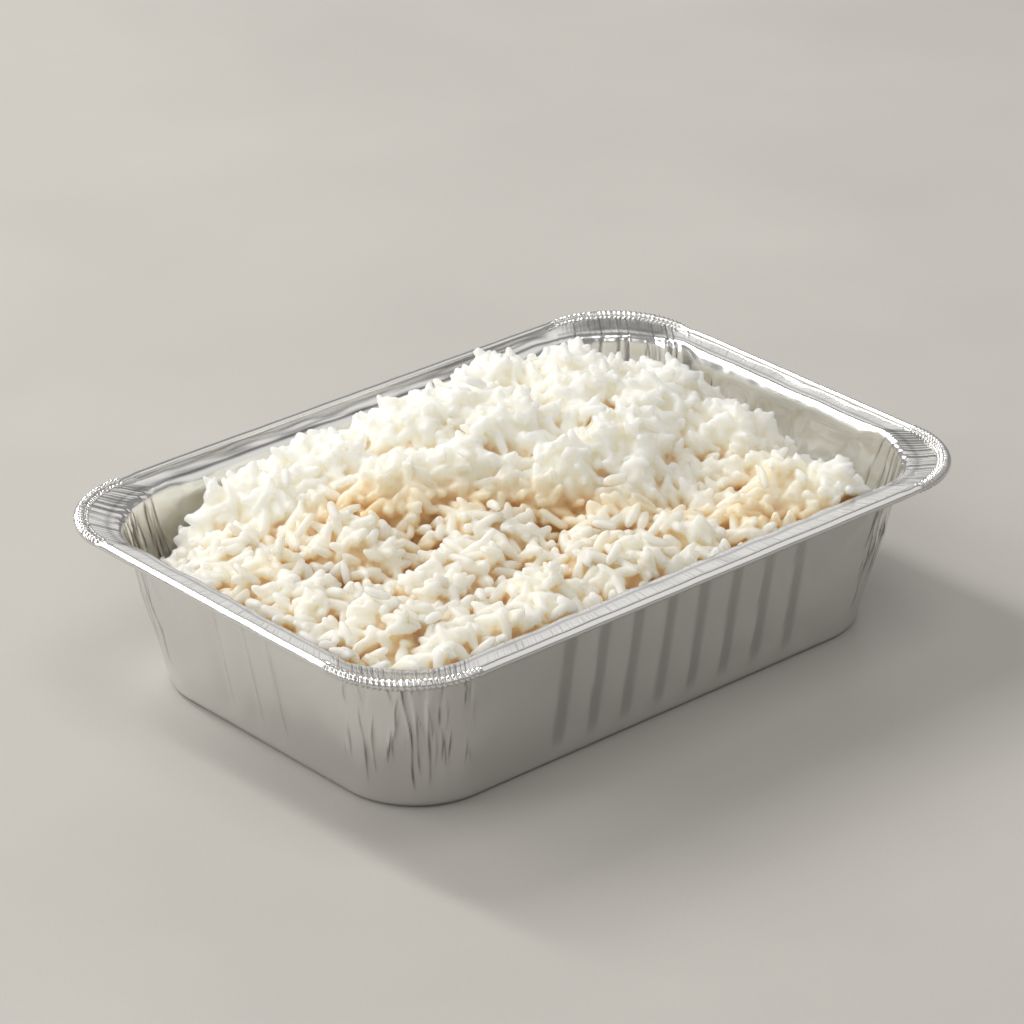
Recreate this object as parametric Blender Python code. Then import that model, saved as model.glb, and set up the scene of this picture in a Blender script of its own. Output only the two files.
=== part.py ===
"""Foil tray meal: an oblong take-away tray pressed from one sheet of foil, with a rolled rim,
filled with a heap of cooked white rice.

Frame: +X along the tray, +Y across it, +Z up, origin at the middle of the base's underside.
Units are metres. Two solids: foil_tray and rice_heap.
"""
import math

import bmesh
import bpy
from mathutils import Vector, noise

MM = 0.001

# ---- Driving dimensions: the tray ------------------------------------------------------------
TRAY_LENGTH = 214.0 * MM          # over the rolled rim
TRAY_WIDTH = 149.4 * MM
RIM_CORNER = 28.0 * MM            # outer corner radius of the rim
RIM_HEIGHT = 48.3 * MM            # floor to the middle of the rolled bead
BEAD_RADIUS = 1.35 * MM
BEAD_SWELL = 0.35 * MM            # how much fatter the crimped bead is in the corners
BEAD_SIDES = 7

SHOULDER_LENGTH = 198.0 * MM      # where the flat flange turns down into the walls
SHOULDER_WIDTH = 130.0 * MM
SHOULDER_CORNER = 25.0 * MM
SHOULDER_DROP = 3.0 * MM          # height of the rounded shoulder
FLANGE_FALL = 0.3 * MM            # the flange falls a little towards the food
CORNER_FALL = 1.0 * MM            # and more in the corners, where it is pleated

WALL_TOP_LENGTH = 195.7 * MM      # outside of the walls, just under the shoulder
WALL_TOP_WIDTH = 127.4 * MM
WALL_TOP_CORNER = 26.0 * MM
BASE_LENGTH = 176.4 * MM          # outside of the walls, carried down to the floor
BASE_WIDTH = 112.7 * MM
BASE_CORNER = 23.4 * MM
BASE_FILLET = 2.6 * MM            # rounded turn from wall to base
FOIL = 0.5 * MM                   # stand-in wall: the real foil is about 0.1 mm

# ---- Driving dimensions: ribs pressed into the walls, and pleats gathered in the corners ------
RIB_DEPTH = 0.9 * MM              # ribs stand in towards the food
RIB_FOOT = 8.0 * MM               # height where a rib starts, and where it is at full depth
RIB_FULL = 18.0 * MM
RIB_TOP = 41.0 * MM               # above this the ribs run together in one smooth band
RIB_SLOPE = 0.25                  # share of a rib's width taken by each sloping side
LONG_RIBS = {"count": 8, "pitch": 11.9 * MM, "width": 5.0 * MM, "middle": 4.5 * MM}
NEAR_SHORT_RIBS = {"count": 3, "pitch": 12.7 * MM, "width": 5.6 * MM, "middle": 2.5 * MM}
FAR_SHORT_RIBS = {"count": 3, "pitch": 16.0 * MM, "width": 6.4 * MM, "middle": 5.5 * MM}
PLEATS = 8                        # folds gathered in each corner
PLEAT_DEPTH = 0.7 * MM

# ---- Driving dimensions: the rice ------------------------------------------------------------
FIT_GAP = 0.35 * MM               # clear of the foil all round
FILL_LEVEL = 47.3 * MM            # level of the rice along the two full sides
MOUND = {"x": 24 * MM, "y": 14 * MM, "long": 58 * MM, "wide": 40 * MM, "rise": 14.5 * MM}
MOUND_SHARPNESS = 1.5
# Lumps and hollows, left as the rice was spooned in: x, y, radius and height in millimetres.
LUMPS = [
    (-30, 48, 18, 5.0), (-60, 54, 13, 2.5), (-6, 40, 16, 3.5), (14, 40, 14, 3.5), (34, 36, 12, 2.0),
    (49, 33, 10, 4.5), (58, 24, 7, -3.0), (63, 10, 13, 4.5), (67, -22, 13, 4.0), (66, -52, 12, 3.5),
    (-50, 20, 16, 2.5), (-6, -20, 14, -3.5), (34, -32, 11, -3.5), (-40, -4, 12, -3.0), (4, 2, 12, -1.5),
]
FAR_END = {"start": 66 * MM, "run": 31 * MM, "fall": 17.0 * MM}      # the low end at +X
FAR_SIDE = {"start": 50 * MM, "run": 14 * MM, "fall": 4.5 * MM}      # and the low edge at +Y
EMPTY_CORNER = {"x": -97 * MM, "y": 64 * MM, "radius": 48 * MM, "fall": 21.0 * MM}
CLUMP_SIZE = 10.0 * MM            # small clumps all over the heap
CLUMP_HEIGHT = 2.2 * MM
HEAP_STEP = 5.0 * MM              # spacing of the heap's mesh along the walls
HEAP_RINGS = 13
HEAP_CORNER_STEPS = 8
HEAP_INNERMOST = 0.96             # how far the last ring lies in, as a share of the half width
HEAP_TIGHTEST = 0.5 * MM          # smallest corner radius of the inner rings


# ---- Small helpers ---------------------------------------------------------------------------
def clear_scene():
    for item in list(bpy.data.objects):
        bpy.data.objects.remove(item, do_unlink=True)


def plain_material(name, colour, roughness, metallic):
    material = bpy.data.materials.new(name)
    material.use_nodes = True
    shader = material.node_tree.nodes["Principled BSDF"]
    shader.inputs["Base Color"].default_value = (*colour, 1.0)
    shader.inputs["Roughness"].default_value = roughness
    shader.inputs["Metallic"].default_value = metallic
    return material


def smooth_step(value):
    value = min(max(value, 0.0), 1.0)
    return value * value * (3.0 - 2.0 * value)


def between(low, high, share):
    return low + (high - low) * share


def shrink(plan, inset):
    half_x, half_y, corner = plan
    return half_x - inset, half_y - inset, corner - inset


def solid_from_rings(name, rings, material):
    """One closed body: rings of equal length joined one to the next, with a flat cap on the
    first ring and on the last."""
    mesh = bmesh.new()
    rows = [[mesh.verts.new(point) for point in ring] for ring in rings]
    count = len(rings[0])
    for row, next_row in zip(rows, rows[1:]):
        for here in range(count):
            there = (here + 1) % count
            mesh.faces.new((row[here], row[there], next_row[there], next_row[here]))
    mesh.faces.new(rows[0])
    mesh.faces.new(rows[-1])
    bmesh.ops.recalc_face_normals(mesh, faces=mesh.faces)
    bmesh.ops.triangulate(mesh, faces=mesh.faces)
    data = bpy.data.meshes.new(name)
    mesh.to_mesh(data)
    mesh.free()
    data.materials.append(material)
    data.shade_smooth()
    data.set_sharp_from_angle(angle=math.radians(40))
    body = bpy.data.objects.new(name, data)
    bpy.context.scene.collection.objects.link(body)
    return body


def wall_plan(height):
    """Plan of the walls' outside at a height: half length, half width and corner radius."""
    share = height / (RIM_HEIGHT - SHOULDER_DROP)
    return (between(BASE_LENGTH, WALL_TOP_LENGTH, share) / 2,
            between(BASE_WIDTH, WALL_TOP_WIDTH, share) / 2,
            between(BASE_CORNER, WALL_TOP_CORNER, share))


# ---- foil_tray: stations once round, each with its place and its share of a rib or pleat ------
def rib_stations(ribs):
    """Four stations to a rib: foot, crest, crest, foot."""
    stations = []
    half = ribs["width"] / 2
    flat = half * (1 - 2 * RIB_SLOPE)
    for index in range(ribs["count"]):
        centre = ribs["middle"] + (index - (ribs["count"] - 1) / 2) * ribs["pitch"]
        stations += [(centre - half, 0.0), (centre - flat, 1.0), (centre + flat, 1.0), (centre + half, 0.0)]
    return stations


def corner_stations(steps):
    """Turns from one wall's direction to the next, with every other station inside a pleat."""
    return [(step / steps * math.pi / 2, float(step % 2)) for step in range(steps + 1)]


def tray_stations():
    """Anticlockwise from above. Each quarter is one wall and the corner after it, starting with the
    -Y wall. A station is (quarter, in the corner or not, place or turn, share)."""
    stations = []
    ribs_by_quarter = [LONG_RIBS, FAR_SHORT_RIBS, LONG_RIBS, NEAR_SHORT_RIBS]
    for quarter, ribs in enumerate(ribs_by_quarter):
        forwards = 1 if quarter < 2 else -1
        stations += [(quarter, False, place, share) for place, share in rib_stations(ribs)[::forwards]]
        stations += [(quarter, True, turn, share) for turn, share in corner_stations(2 * PLEATS)]
    return stations


def wall_point(quarter, place, plan, inset):
    """A point on a straight wall, at a place along it and inset towards the food."""
    half_x, half_y, _ = plan
    return [(place, inset - half_y), (half_x - inset, place),
            (place, half_y - inset), (inset - half_x, place)][quarter]


def corner_point(quarter, turn, plan, inset):
    """A point on the round corner after a wall: turn runs from 0 to a quarter of a circle."""
    half_x, half_y, corner = plan
    side_x, side_y = [(1, -1), (1, 1), (-1, 1), (-1, -1)][quarter]
    angle = turn + (quarter - 1) * math.pi / 2
    reach = corner - inset
    return (side_x * (half_x - corner) + reach * math.cos(angle),
            side_y * (half_y - corner) + reach * math.sin(angle))


def tray_ring(plan, height, rib=0.0, band=0.0, pleat=0.0, fall=0.0, swell=0.0):
    """One ring of the tray. Ribs, the band above them and pleats stand inwards. Fall lowers the
    corners and swell widens them, most in their middle."""
    ring = []
    for quarter, in_corner, place, share in STATIONS:
        if in_corner:
            middle = math.sin(2 * place)
            x, y = corner_point(quarter, place, plan, share * pleat - swell * middle)
            ring.append((x, y, height - fall * middle))
        else:
            x, y = wall_point(quarter, place, plan, max(share * rib, band))
            ring.append((x, y, height))
    return ring


def wall_rings(inset):
    """The walls from the base up to the shoulder, on the outside or, inset, on the inside."""
    rings = []
    levels = [(BASE_FILLET, 0.0, 0.0, 0.1), (RIB_FOOT, 0.0, 0.0, 0.3), (RIB_FULL, 1.0, 0.0, 0.5),
              (RIB_TOP, 1.0, 0.0, 0.9), (RIM_HEIGHT - SHOULDER_DROP, 1.0, 1.0, 1.0)]
    for height, rib, band, pleat in levels:
        plan = shrink(wall_plan(height), inset)
        rings.append(tray_ring(plan, height, rib * RIB_DEPTH, band * RIB_DEPTH, pleat * PLEAT_DEPTH))
    return rings


def bead_rings():
    """The rolled edge, from the flange's underside round the outside to the flange's top."""
    rings = []
    join = math.pi - math.asin(FOIL / 2 / BEAD_RADIUS)
    outer = (TRAY_LENGTH / 2, TRAY_WIDTH / 2, RIM_CORNER)
    for step in range(BEAD_SIDES):
        angle = between(-join, join, step / (BEAD_SIDES - 1))
        plan = shrink(outer, BEAD_RADIUS * (1 - math.cos(angle)))
        height = RIM_HEIGHT + BEAD_RADIUS * math.sin(angle)
        swell = BEAD_SWELL * math.cos(angle)
        rings.append(tray_ring(plan, height, swell=swell, fall=-BEAD_SWELL * math.sin(angle)))
    return rings


def build_foil_tray():
    """One thin shell: base, walls and flange outside, round the bead, and back down inside."""
    shoulder = (SHOULDER_LENGTH / 2, SHOULDER_WIDTH / 2, SHOULDER_CORNER)
    base = shrink(wall_plan(0.0), BASE_FILLET / 2)
    under = RIM_HEIGHT - FOIL / 2 - FLANGE_FALL
    rings = [tray_ring(base, 0.0)]
    rings += wall_rings(0.0)
    rings.append(tray_ring(shoulder, under, pleat=PLEAT_DEPTH, fall=CORNER_FALL))
    rings += bead_rings()
    rings.append(tray_ring(shoulder, under + FOIL, pleat=PLEAT_DEPTH, fall=CORNER_FALL))
    rings += wall_rings(FOIL)[::-1]
    rings.append(tray_ring(shrink(base, FOIL), FOIL))
    return solid_from_rings("foil_tray", rings, plain_material("rolled_foil", (0.80, 0.80, 0.79), 0.28, 1.0))


# ---- rice_heap -------------------------------------------------------------------------------
def heap_height(x, y):
    """Top of the rice at a place: a broad mound with lumps, low along the two far walls."""
    spread = ((x - MOUND["x"]) / MOUND["long"]) ** 2 + ((y - MOUND["y"]) / MOUND["wide"]) ** 2
    height = FILL_LEVEL + MOUND["rise"] * math.exp(-spread ** MOUND_SHARPNESS)
    for lump_x, lump_y, radius, rise in LUMPS:
        apart = ((x / MM - lump_x) ** 2 + (y / MM - lump_y) ** 2) / radius ** 2
        height += rise * MM * math.exp(-apart)
    height -= FAR_END["fall"] * smooth_step((x - FAR_END["start"]) / FAR_END["run"])
    height -= FAR_SIDE["fall"] * smooth_step((y - FAR_SIDE["start"]) / FAR_SIDE["run"])
    away = math.hypot(x - EMPTY_CORNER["x"], y - EMPTY_CORNER["y"]) / EMPTY_CORNER["radius"]
    height -= EMPTY_CORNER["fall"] * smooth_step(1 - away)
    return height + CLUMP_HEIGHT * noise.noise(Vector((x, y, height)) / CLUMP_SIZE)


def heap_plan(height):
    """Outline of the rice at a height: inside the ribs, and never wider than at the rim."""
    return shrink(wall_plan(height), FOIL + RIB_DEPTH + FIT_GAP)


def heap_stations():
    """Once round, anticlockwise from above: (quarter, in a corner or not, share of the wall from
    -1 to 1, or turn within the corner)."""
    stations = []
    for quarter in range(4):
        run = (BASE_LENGTH if quarter % 2 == 0 else BASE_WIDTH) - 2 * BASE_CORNER
        steps = round(run / HEAP_STEP)
        forwards = 1 if quarter < 2 else -1
        stations += [(quarter, False, forwards * between(-1, 1, step / steps)) for step in range(1, steps)]
        turns = [step / HEAP_CORNER_STEPS * math.pi / 2 for step in range(HEAP_CORNER_STEPS + 1)]
        stations += [(quarter, True, turn) for turn in turns]
    return stations


def heap_point(station, height, inset_share=0.0, inset=0.0):
    """A station's place at a height: on the outline, or inset by a length or by a share of the
    half width."""
    plan = heap_plan(height)
    half_x, half_y, corner = shrink(plan, inset + inset_share * plan[1])
    plan = (half_x, half_y, max(corner, HEAP_TIGHTEST))
    quarter, in_corner, place = station
    if in_corner:
        return corner_point(quarter, place, plan, 0.0)
    straight = (half_x if quarter % 2 == 0 else half_y) - plan[2]
    return wall_point(quarter, place * straight, plan, 0.0)


def edge_height(station):
    """Height at which the top of the rice meets the wall, found by walking up to it."""
    height = FILL_LEVEL
    for _ in range(4):
        height = heap_height(*heap_point(station, height))
    return height


def build_rice_heap():
    """Flat underside, a foot just above the tray's fillet, then rings over the top to the middle."""
    stations = heap_stations()
    underside = FOIL + FIT_GAP
    foot = BASE_FILLET + FOIL
    edges = [edge_height(station) for station in stations]
    rings = [[(*heap_point(station, 0.0, inset=BASE_FILLET), underside) for station in stations],
             [(*heap_point(station, foot), foot) for station in stations]]
    for ring in range(HEAP_RINGS):
        share = HEAP_INNERMOST * ring / (HEAP_RINGS - 1)
        points = [heap_point(station, edge, share) for station, edge in zip(stations, edges)]
        rings.append([(x, y, heap_height(x, y)) for x, y in points])
    return solid_from_rings("rice_heap", rings, plain_material("cooked_rice", (0.85, 0.84, 0.78), 0.45, 0.0))


clear_scene()
STATIONS = tray_stations()
build_foil_tray()
build_rice_heap()
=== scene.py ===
import math

import bmesh
import bpy
import numpy as np
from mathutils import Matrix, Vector, noise


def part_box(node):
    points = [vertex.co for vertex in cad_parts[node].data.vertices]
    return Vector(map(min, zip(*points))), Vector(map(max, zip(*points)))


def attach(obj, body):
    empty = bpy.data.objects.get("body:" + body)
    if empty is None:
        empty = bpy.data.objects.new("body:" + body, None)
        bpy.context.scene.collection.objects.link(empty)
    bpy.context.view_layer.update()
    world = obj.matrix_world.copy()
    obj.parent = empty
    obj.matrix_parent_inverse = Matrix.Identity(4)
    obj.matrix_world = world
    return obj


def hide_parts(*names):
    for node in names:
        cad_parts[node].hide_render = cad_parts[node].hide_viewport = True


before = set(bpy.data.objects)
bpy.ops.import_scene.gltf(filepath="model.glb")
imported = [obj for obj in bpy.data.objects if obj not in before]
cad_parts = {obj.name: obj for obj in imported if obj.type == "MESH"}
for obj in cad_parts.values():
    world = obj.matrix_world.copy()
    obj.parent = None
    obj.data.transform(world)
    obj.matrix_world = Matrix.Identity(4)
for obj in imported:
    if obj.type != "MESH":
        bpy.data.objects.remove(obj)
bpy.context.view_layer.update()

# ---- The pressed tray --------------------------------------------------------------------------
# One sheet of thin aluminium foil drawn in a press. Ribs stiffen its four walls, and the metal
# that has nowhere to go gathers in creases at the corners, down the wall and across the flange.
MM = 0.001
_, tray_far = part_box("foil_tray")
RIM_PLAN = (tray_far[0] / MM, tray_far[1] / MM, 28.0)  # half length, half width, corner radius in mm
RIM_HEIGHT = 48.3
BEAD_RADIUS = 1.35
SHOULDER_PLAN = (99.0, 65.0, 25.0)
BASE_PLAN = (88.2, 56.35, 23.4)
WALL_TOP_PLAN = (97.85, 63.7, 26.0)
WALL_TOP = 45.3
BASE_FILLET = 2.6
LAST_WALL = 44.4                    # where the wall turns into the shoulder
FLANGE_LEVEL = 48.0
SHEET = 0.16                        # thickness of the foil
CORNER_FALL = 1.0                   # the flange hangs a little in the corners
CORNERS = [(1, -1), (1, 1), (-1, 1), (-1, -1)]
FACETS_PER_WALL = (126, 64)
FACETS_PER_CORNER = 140
WALL_ROWS = 25


def ease(low, high, value):
    """Smooth rise from 0 to 1 between two values."""
    share = np.clip((np.asarray(value, float) - low) / (high - low), 0.0, 1.0)
    return share * share * (3.0 - 2.0 * share)


def plan_between(first, second, share):
    """An outline part of the way from one rounded oblong to another."""
    return tuple(a + (b - a) * share for a, b in zip(first, second))


def plan_inset(plan, inset):
    """An outline drawn in all round."""
    return plan[0] - inset, plan[1] - inset, plan[2] - inset


def wall_plan(height):
    """Outline of the walls at a height above the table."""
    return plan_between(BASE_PLAN, WALL_TOP_PLAN, height / WALL_TOP)


def once_round(wall_steps, corner_steps):
    """Stations once round a rounded oblong: the share of the straight runs where each one's arc is
    centred, the direction it faces, and its wall (0 to 3) or -1 in a corner."""
    stations = []
    for wall in range(4):
        start, end = np.array(CORNERS[wall - 1], float), np.array(CORNERS[wall], float)
        facing = (wall - 1) * math.pi / 2
        steps = wall_steps[wall % 2]
        stations += [(*(start + (end - start) * step / steps), facing, wall) for step in range(steps)]
        turns = [facing + step / corner_steps * math.pi / 2 for step in range(corner_steps)]
        stations += [(*end, turn, -1) for turn in turns]
    return np.array(stations).T


def in_corners(stations):
    """For each station: whether it is in a corner, its turn from the corner's start, and how near
    it is to the corner's middle, from 0 to 1."""
    facing, wall = stations[2:]
    turn = np.where(wall < 0, (facing + math.pi / 2) % (math.pi / 2), 0.0)
    return wall < 0, turn, np.where(wall < 0, np.sin(2 * turn), 0.0)


def plan_point(plan, stations):
    """Points of a rounded oblong at the stations. Its measures may be arrays."""
    (half_x, half_y, corner), (share_x, share_y, facing) = plan, stations[:3]
    x = share_x * (half_x - corner) + corner * np.cos(facing)
    y = share_y * (half_y - corner) + corner * np.sin(facing)
    return x, y


def rows_to_mesh(name, x, y, z, closed_rows=False):
    """A mesh of quads from grids of millimetre coordinates: rows one way, stations once round."""
    rows, count = x.shape
    points = np.stack([x, y, z], axis=-1).reshape(-1, 3) * MM
    row = np.arange(rows if closed_rows else rows - 1)[:, None]
    here = np.arange(count)[None, :]
    there = (here + 1) % count
    above = (row + 1) % rows
    faces = np.stack([row * count + here, row * count + there,
                      above * count + there, above * count + here], axis=-1).reshape(-1, 4)
    data = bpy.data.meshes.new(name)
    data.from_pydata(points.tolist(), [], faces.tolist())
    return data


def close_ends(data, rings):
    """Closes rings of a mesh, each with a fan round a middle point, and turns its faces outward."""
    shell = bmesh.new()
    shell.from_mesh(data)
    shell.verts.ensure_lookup_table()
    for corners in [[shell.verts[index] for index in ring] for ring in rings]:
        middle = shell.verts.new(sum((vertex.co for vertex in corners), Vector()) / len(corners))
        for first, second in zip(corners, corners[1:] + corners[:1]):
            shell.faces.new((first, second, middle))
    bmesh.ops.recalc_face_normals(shell, faces=shell.faces)
    shell.to_mesh(data)
    shell.free()


def placed(name, data):
    """A new object in the scene, at the origin."""
    item = bpy.data.objects.new(name, data)
    bpy.context.scene.collection.objects.link(item)
    return item


def noise_at(x, y, z):
    """Smooth noise from -1 to 1 at places given by arrays or numbers."""
    places = np.broadcast_arrays(x, y, z)
    values = [noise.noise(Vector(place)) for place in zip(*(axis.ravel() for axis in places))]
    return np.array(values).reshape(places[0].shape)


def ridge(away, width, sharpness=2):
    """1 along a line and falling off to either side of it."""
    return np.exp(-np.abs(away / width) ** sharpness)


stations = once_round(FACETS_PER_WALL, FACETS_PER_CORNER)
share_x, share_y, facing, wall_of = stations
in_corner, turn, mid_corner = in_corners(stations)
corner_of = np.where(in_corner, ((facing + math.pi / 2) // (math.pi / 2)).astype(int), -1)

base_edge = wall_plan(0.0)
profile = []                        # each row: plan, height, kind
foot = plan_inset(base_edge, BASE_FILLET)
for share in (0.12, 0.4, 0.7, 0.9):
    profile.append((plan_between((8.0, 4.0, 3.0), foot, share), SHEET / 2, "base"))
for share in np.linspace(0, 1, 6):
    turn_in = plan_between(foot, base_edge, share)
    turn_out = plan_between(base_edge, wall_plan(BASE_FILLET), share)
    rise = SHEET / 2 + share * share * (BASE_FILLET - SHEET / 2)
    profile.append((plan_between(turn_in, turn_out, share), rise, "fillet"))
for height in np.linspace(BASE_FILLET, LAST_WALL, WALL_ROWS)[1:]:
    profile.append((wall_plan(height), height, "wall"))
flange_start = plan_between(SHOULDER_PLAN, RIM_PLAN, 0.09)
bend = wall_plan(FLANGE_LEVEL)
for share in np.arange(1, 8) / 7:
    turn_in = plan_between(wall_plan(LAST_WALL), bend, share)
    turn_out = plan_between(bend, flange_start, share)
    rise = LAST_WALL + (1 - (1 - share) ** 2) * (FLANGE_LEVEL - LAST_WALL)
    profile.append((plan_between(turn_in, turn_out, share), rise, "shoulder"))
bead_root = plan_inset(RIM_PLAN, 2 * BEAD_RADIUS - 0.1)
for share in (0.18, 0.36, 0.54, 0.72, 0.88, 1.0):
    flange_plan = plan_between(flange_start, bead_root, share)
    profile.append((flange_plan, FLANGE_LEVEL + 0.25 * share, "flange"))
profile.append((plan_inset(RIM_PLAN, BEAD_RADIUS), RIM_HEIGHT, "hidden"))

plans = tuple(np.array([row[0][axis] for row in profile])[:, None] for axis in range(3))
heights = np.array([row[1] for row in profile])[:, None]
kinds = [row[2] for row in profile]
shell_x, shell_y = plan_point(plans, stations)
shell_z = np.repeat(heights, len(facing), axis=1)
level = shell_z.copy()

# How far each row is over the shoulder: 0 on the wall, 1 on the flat flange.
over = np.array([0.0 if kind in ("base", "fillet", "wall") else 1.0 for kind in kinds])[:, None]
shoulder_rows = [index for index, kind in enumerate(kinds) if kind == "shoulder"]
flange_rows = [index for index, kind in enumerate(kinds) if kind == "flange"]
over[shoulder_rows, 0] = np.arange(1, len(shoulder_rows) + 1) / len(shoulder_rows)

# Ribs: pressed in towards the food, fading out near the base. Walls are counted from the near long
# one: 0 and 2 are long, 1 and 3 short. On the two far walls a band at the top joins the ribs.
RIB_DEPTH = 0.95
RIB_PITCH = 11.9
long_centres = np.array([4.5 + (index - 3.5) * RIB_PITCH for index in range(8)])
RIBS = [  # centres, width of the flat, widths of the slopes before and after it, strength
    (long_centres + 4.85, 4.2, (5.2, 2.5), 0.95), ([-11.0, 7.0, 21.5], 4.2, (1.9, 1.9), 1.15),
    (long_centres - 4.0, 4.7, (3.7, 3.2), 1.0), ([-8.2, 1.5, 13.6], 0.8, (3.6, 3.8), 0.9)]
rib = np.zeros_like(shell_x)
end_fade = np.ones(len(facing))
for wall, (centres, width, slopes, strength) in enumerate(RIBS):
    mask = wall_of == wall
    along, share = (shell_y, share_y) if wall % 2 else (shell_x, share_x)
    edges = [-width / 2 - slopes[0], -width / 2, width / 2, width / 2 + slopes[1]]
    depths = np.tile([0.0, 1.0, 1.0, 0.0], len(centres))
    rib[:, mask] = strength * np.interp(along[:, mask], np.add.outer(centres, edges).ravel(), depths)
    end_fade[mask] = 1 - ease(0.86, 1.0, np.abs(share[mask]))
foot_fade = ease(2.0, 10.0, level)
band = ease(41.0, 43.4, level + 1.6 * rib) * (1 - over)
band_walls = (wall_of == 1) | (wall_of == 2)
inward = RIB_DEPTH * np.maximum(rib * foot_fade * (1 - over), band * end_fade * band_walls)

# Creases gathered in the corners. Each is a sharp fold that wanders a little, on part of the
# height; the long ones run on over the shoulder and across the flange to the bead.
dice = np.random.default_rng(11)
degrees = np.degrees(turn)[None, :]
crease = np.zeros_like(shell_x)
folded = np.zeros_like(shell_x)     # painted shade: 1 where the sheet is folded on itself and traps the light
LONG_FOLDS = (8, 10, 11, 9)         # in the corners, from the near right one round
THROUGH_FOLDS = (5, 7, 9, 1)        # how many of them cross the flange
FOLD_STRENGTH = (1.0, 1.0, 0.6, 1.0)
SHORT_FOLDS = 34
BROAD_DENTS = 9
for corner in range(4):
    mask = corner_of == corner
    count = LONG_FOLDS[corner]
    through = dice.permutation(count) < THROUGH_FOLDS[corner]
    for fold, place in enumerate(np.linspace(7, 83, count) + dice.uniform(-3.0, 3.0, count)):
        foot = dice.uniform(3.0, 16.0)
        top = 99.0 if through[fold] else dice.uniform(24.0, 38.0)
        lean = dice.uniform(-0.16, 0.16)
        wander = dice.uniform(0.4, 1.1) * np.sin(level / dice.uniform(3.0, 6.0) + dice.uniform(0, 6))
        away = np.abs(degrees - place - (lean * (level - 40.0) + wander) * (1 - over))
        strength = mask * ease(foot, foot + 7.0, level) * ease(top, top - 8.0, level)
        strength = strength * (0.75 + 0.25 * np.sin(level / 2.3 + place)) * FOLD_STRENGTH[corner]
        crease -= strength * dice.uniform(0.4, 0.75) * ridge(away, 1.0, 1.4) * (1 - 0.75 * over)
        # Each fold also gets painted shade, darkest along its line.
        folded = np.maximum(folded, strength * ridge(away, 0.55) * dice.uniform(0.6, 1.0))
    for _ in range(SHORT_FOLDS):
        place = dice.uniform(2, 88)
        middle = 44.0 - 32.0 * dice.random() ** 2
        half = dice.uniform(2.0, 8.0)
        lean = dice.uniform(-0.45, 0.45)
        away = np.abs(degrees - place - lean * (level - middle) - 0.7 * np.sin(level / 2.5 + place))
        strength = mask * np.clip(1 - ((level - middle) / half) ** 2, 0, 1) * (1 - over)
        sign = dice.choice([-1.0, -1.0, 1.0])
        crease += sign * strength * dice.uniform(0.15, 0.45) * ridge(away, 1.2, 1.5)
        if sign < 0:
            folded = np.maximum(folded, strength * ridge(away, 0.6) * dice.uniform(0.2, 0.9))
    for _ in range(BROAD_DENTS):
        place = dice.uniform(0, 90)
        width = dice.uniform(2.5, 5.0)
        depth = dice.uniform(-0.3, 0.3)
        away = degrees - place - dice.uniform(-0.15, 0.15) * (level - 30.0)
        crease += mask * depth * ridge(away, width) * ease(5.0, 24.0, level) * (1 - 0.6 * over)

# Fine pleats across the flange in the corners, one for each crimp of the rolled edge.
CRIMP_PITCH = 1.5


def crimp_wave(run, twist=0.0):
    """1 in the crimps and 0 between them, by distance round the rim; a twist slants them."""
    jitter = noise_at(run / 1.7, 3.1, 0.0)
    phase = 2 * math.pi * run / CRIMP_PITCH + 1.6 * jitter + twist
    return (0.5 + 0.5 * np.cos(phase)) * (0.85 + 0.5 * jitter)


def distance_round(x, y):
    """Distance round a closed outline to each of its stations."""
    steps = np.hypot(np.diff(x, append=x[0]), np.diff(y, append=y[0]))
    return np.concatenate([[0.0], np.cumsum(steps)[:-1]])


around = distance_round(shell_x[-1], shell_y[-1])
flat = ease(0.55, 0.95, over)
pleated = np.choose(np.maximum(corner_of, 0), (0.35, 0.2, 0.12, 1.0)) * ease(0.0, 0.25, mid_corner)
crease -= 0.3 * (crimp_wave(around) - 0.4) * flat * pleated
# The crimps of the pleats also get painted shade.
folded = np.maximum(folded, 0.55 * ease(0.6, 1.0, crimp_wave(around)) * flat * pleated)

# Short dents that fan out from the corners on to the ends of the walls.
for side_x, side_y in CORNERS:
    for along_x in (True, False):
        for _ in range(4):
            reach = dice.uniform(1.0, 13.0)
            top = dice.uniform(30.0, 43.0)
            lean = dice.uniform(0.5, 1.3)
            size = dice.uniform(3.5, 6.0)
            mask = wall_of == (1 + side_y if along_x else 2 - side_x)
            edge = WALL_TOP_PLAN[0 if along_x else 1] - WALL_TOP_PLAN[2]
            along = edge - (side_x * shell_x if along_x else side_y * shell_y)
            across = (along - reach) - lean * (top - level)
            crease += mask * 0.3 * ridge(across, 1.1) * ridge(level - top, size) * (1 - over)

# The far flange is bowed across its width, more in some places than in others.
flange_share = np.zeros(len(kinds))
flange_share[flange_rows] = np.linspace(1 / len(flange_rows), 1, len(flange_rows))
bow = np.sin(2 * math.pi * flange_share)[:, None]
sag = 0.6 + 0.6 * noise_at(around / 23.0, 5.5, 0.0)
crease += (0.14 * bow * sag - 0.6 * (flange_share[:, None] - 0.5) * flat) * (wall_of == 2) * end_fade

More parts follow.
